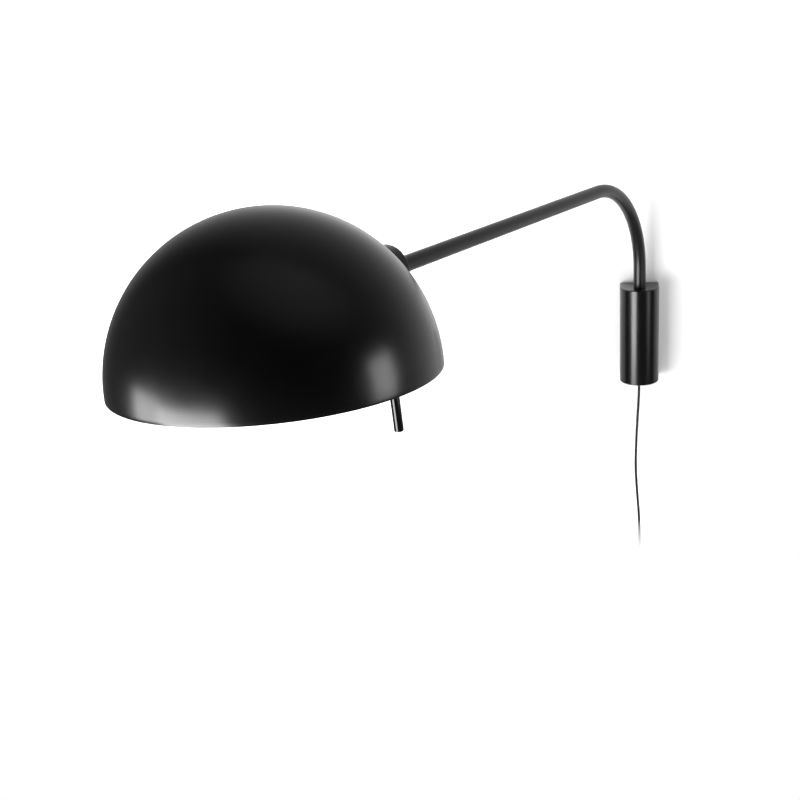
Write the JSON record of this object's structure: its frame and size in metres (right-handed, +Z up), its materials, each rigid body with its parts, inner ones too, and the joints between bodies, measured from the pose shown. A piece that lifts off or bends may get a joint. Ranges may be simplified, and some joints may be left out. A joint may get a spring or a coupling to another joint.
{
  "type": "swing-arm wall lamp",
  "caption": "Black plug-in swing-arm wall lamp: upright D-section bracket, bent tube arm, half-sphere shade on a tilting hub, rod handle and thin lead.",
  "frame": {"origin": "centre of the bracket's back, on the wall", "axes": "+X right along the wall, +Y into the wall, +Z up; the room is towards -Y"},
  "size_m": [0.4782, 0.8027, 0.7829],
  "materials": {
    "black_paint": "satin",
    "gloss_rod": "gloss",
    "steel": "plated",
    "cast_alloy": "cast",
    "bearing_plastic": "matte",
    "lead_sheath": "matte",
    "wire_sheath": "matte",
    "plug_case": "fine texture",
    "contact_brass": "bright",
    "board": "matte",
    "opal": "opal"
  },
  "bodies": {
    "bracket": {"bracket_shell": "black_paint", "bracket_top_cap": "black_paint", "bracket_bottom_cap": "black_paint", "wall_plate": "steel", "bearing_block": "cast_alloy", "block_screws": "steel", "upper_bush": "bearing_plastic", "lower_bush": "bearing_plastic", "friction_washer": "bearing_plastic", "stop_pin": "steel", "cap_screws": "steel", "terminal_block": "bearing_plastic", "bracket_wire": "wire_sheath", "inner_lead": "lead_sheath", "lead_bush": "lead_sheath", "lead_clamp": "bearing_plastic", "clamp_screws": "steel", "lead": "lead_sheath", "lead_coil": "lead_sheath", "lead_tail": "lead_sheath", "lead_tie": "lead_sheath", "plug_sleeve": "lead_sheath", "plug_body": "plug_case", "plug_pins": "contact_brass"},
    "arm": {"arm_tube": "black_paint", "retaining_collar": "steel", "collar_screw": "steel", "arm_wire": "wire_sheath", "arm_end_bush": "bearing_plastic", "bush_screw": "steel"},
    "swivel": {"swivel_spindle": "steel", "spindle_nut": "steel"},
    "head": {"hub_body": "black_paint", "hub_cap": "black_paint", "hub_cap_screws": "steel", "tilt_bolt": "steel", "tilt_nut": "steel", "tilt_washers": "bearing_plastic", "shade": "black_paint", "saddle_plate": "cast_alloy", "hub_screws": "steel", "led_bracket": "steel", "bracket_screws": "steel", "sink_screw": "steel", "heat_sink": "cast_alloy", "led_board": "board", "diffuser": "opal", "hub_wire": "wire_sheath", "dimmer_housing": "black_paint", "dimmer_core": "plug_case", "rod_bush": "bearing_plastic"},
    "rod": {"dimmer_rod": "gloss_rod"}
  },
  "joints": [
    {"name": "arm_swing", "type": "hinge", "parent": "bracket", "child": "arm", "pos_m": [0, -0.025, 0], "axis": [0, 0, 1], "range_deg": [-48.7, 101.3]},
    {"name": "head_roll", "type": "hinge", "parent": "arm", "child": "swivel", "pos_m": [-0.24827, -0.52733, 0.20336], "axis": [-0.443, -0.8964, -0.014], "range_deg": [-47.5, 42.5]},
    {"name": "head_tilt", "type": "hinge", "parent": "swivel", "child": "head", "pos_m": [-0.24827, -0.52733, 0.20336], "axis": [0.8954, -0.4432, 0.0436], "range_deg": [-25.65, 30.35]},
    {"name": "rod_turn", "type": "hinge", "parent": "head", "child": "rod", "pos_m": [-0.2426, -0.5257, 0.10354], "axis": [0.0567, 0.0163, -0.9983], "range_deg": [0, 270]}
  ]
}
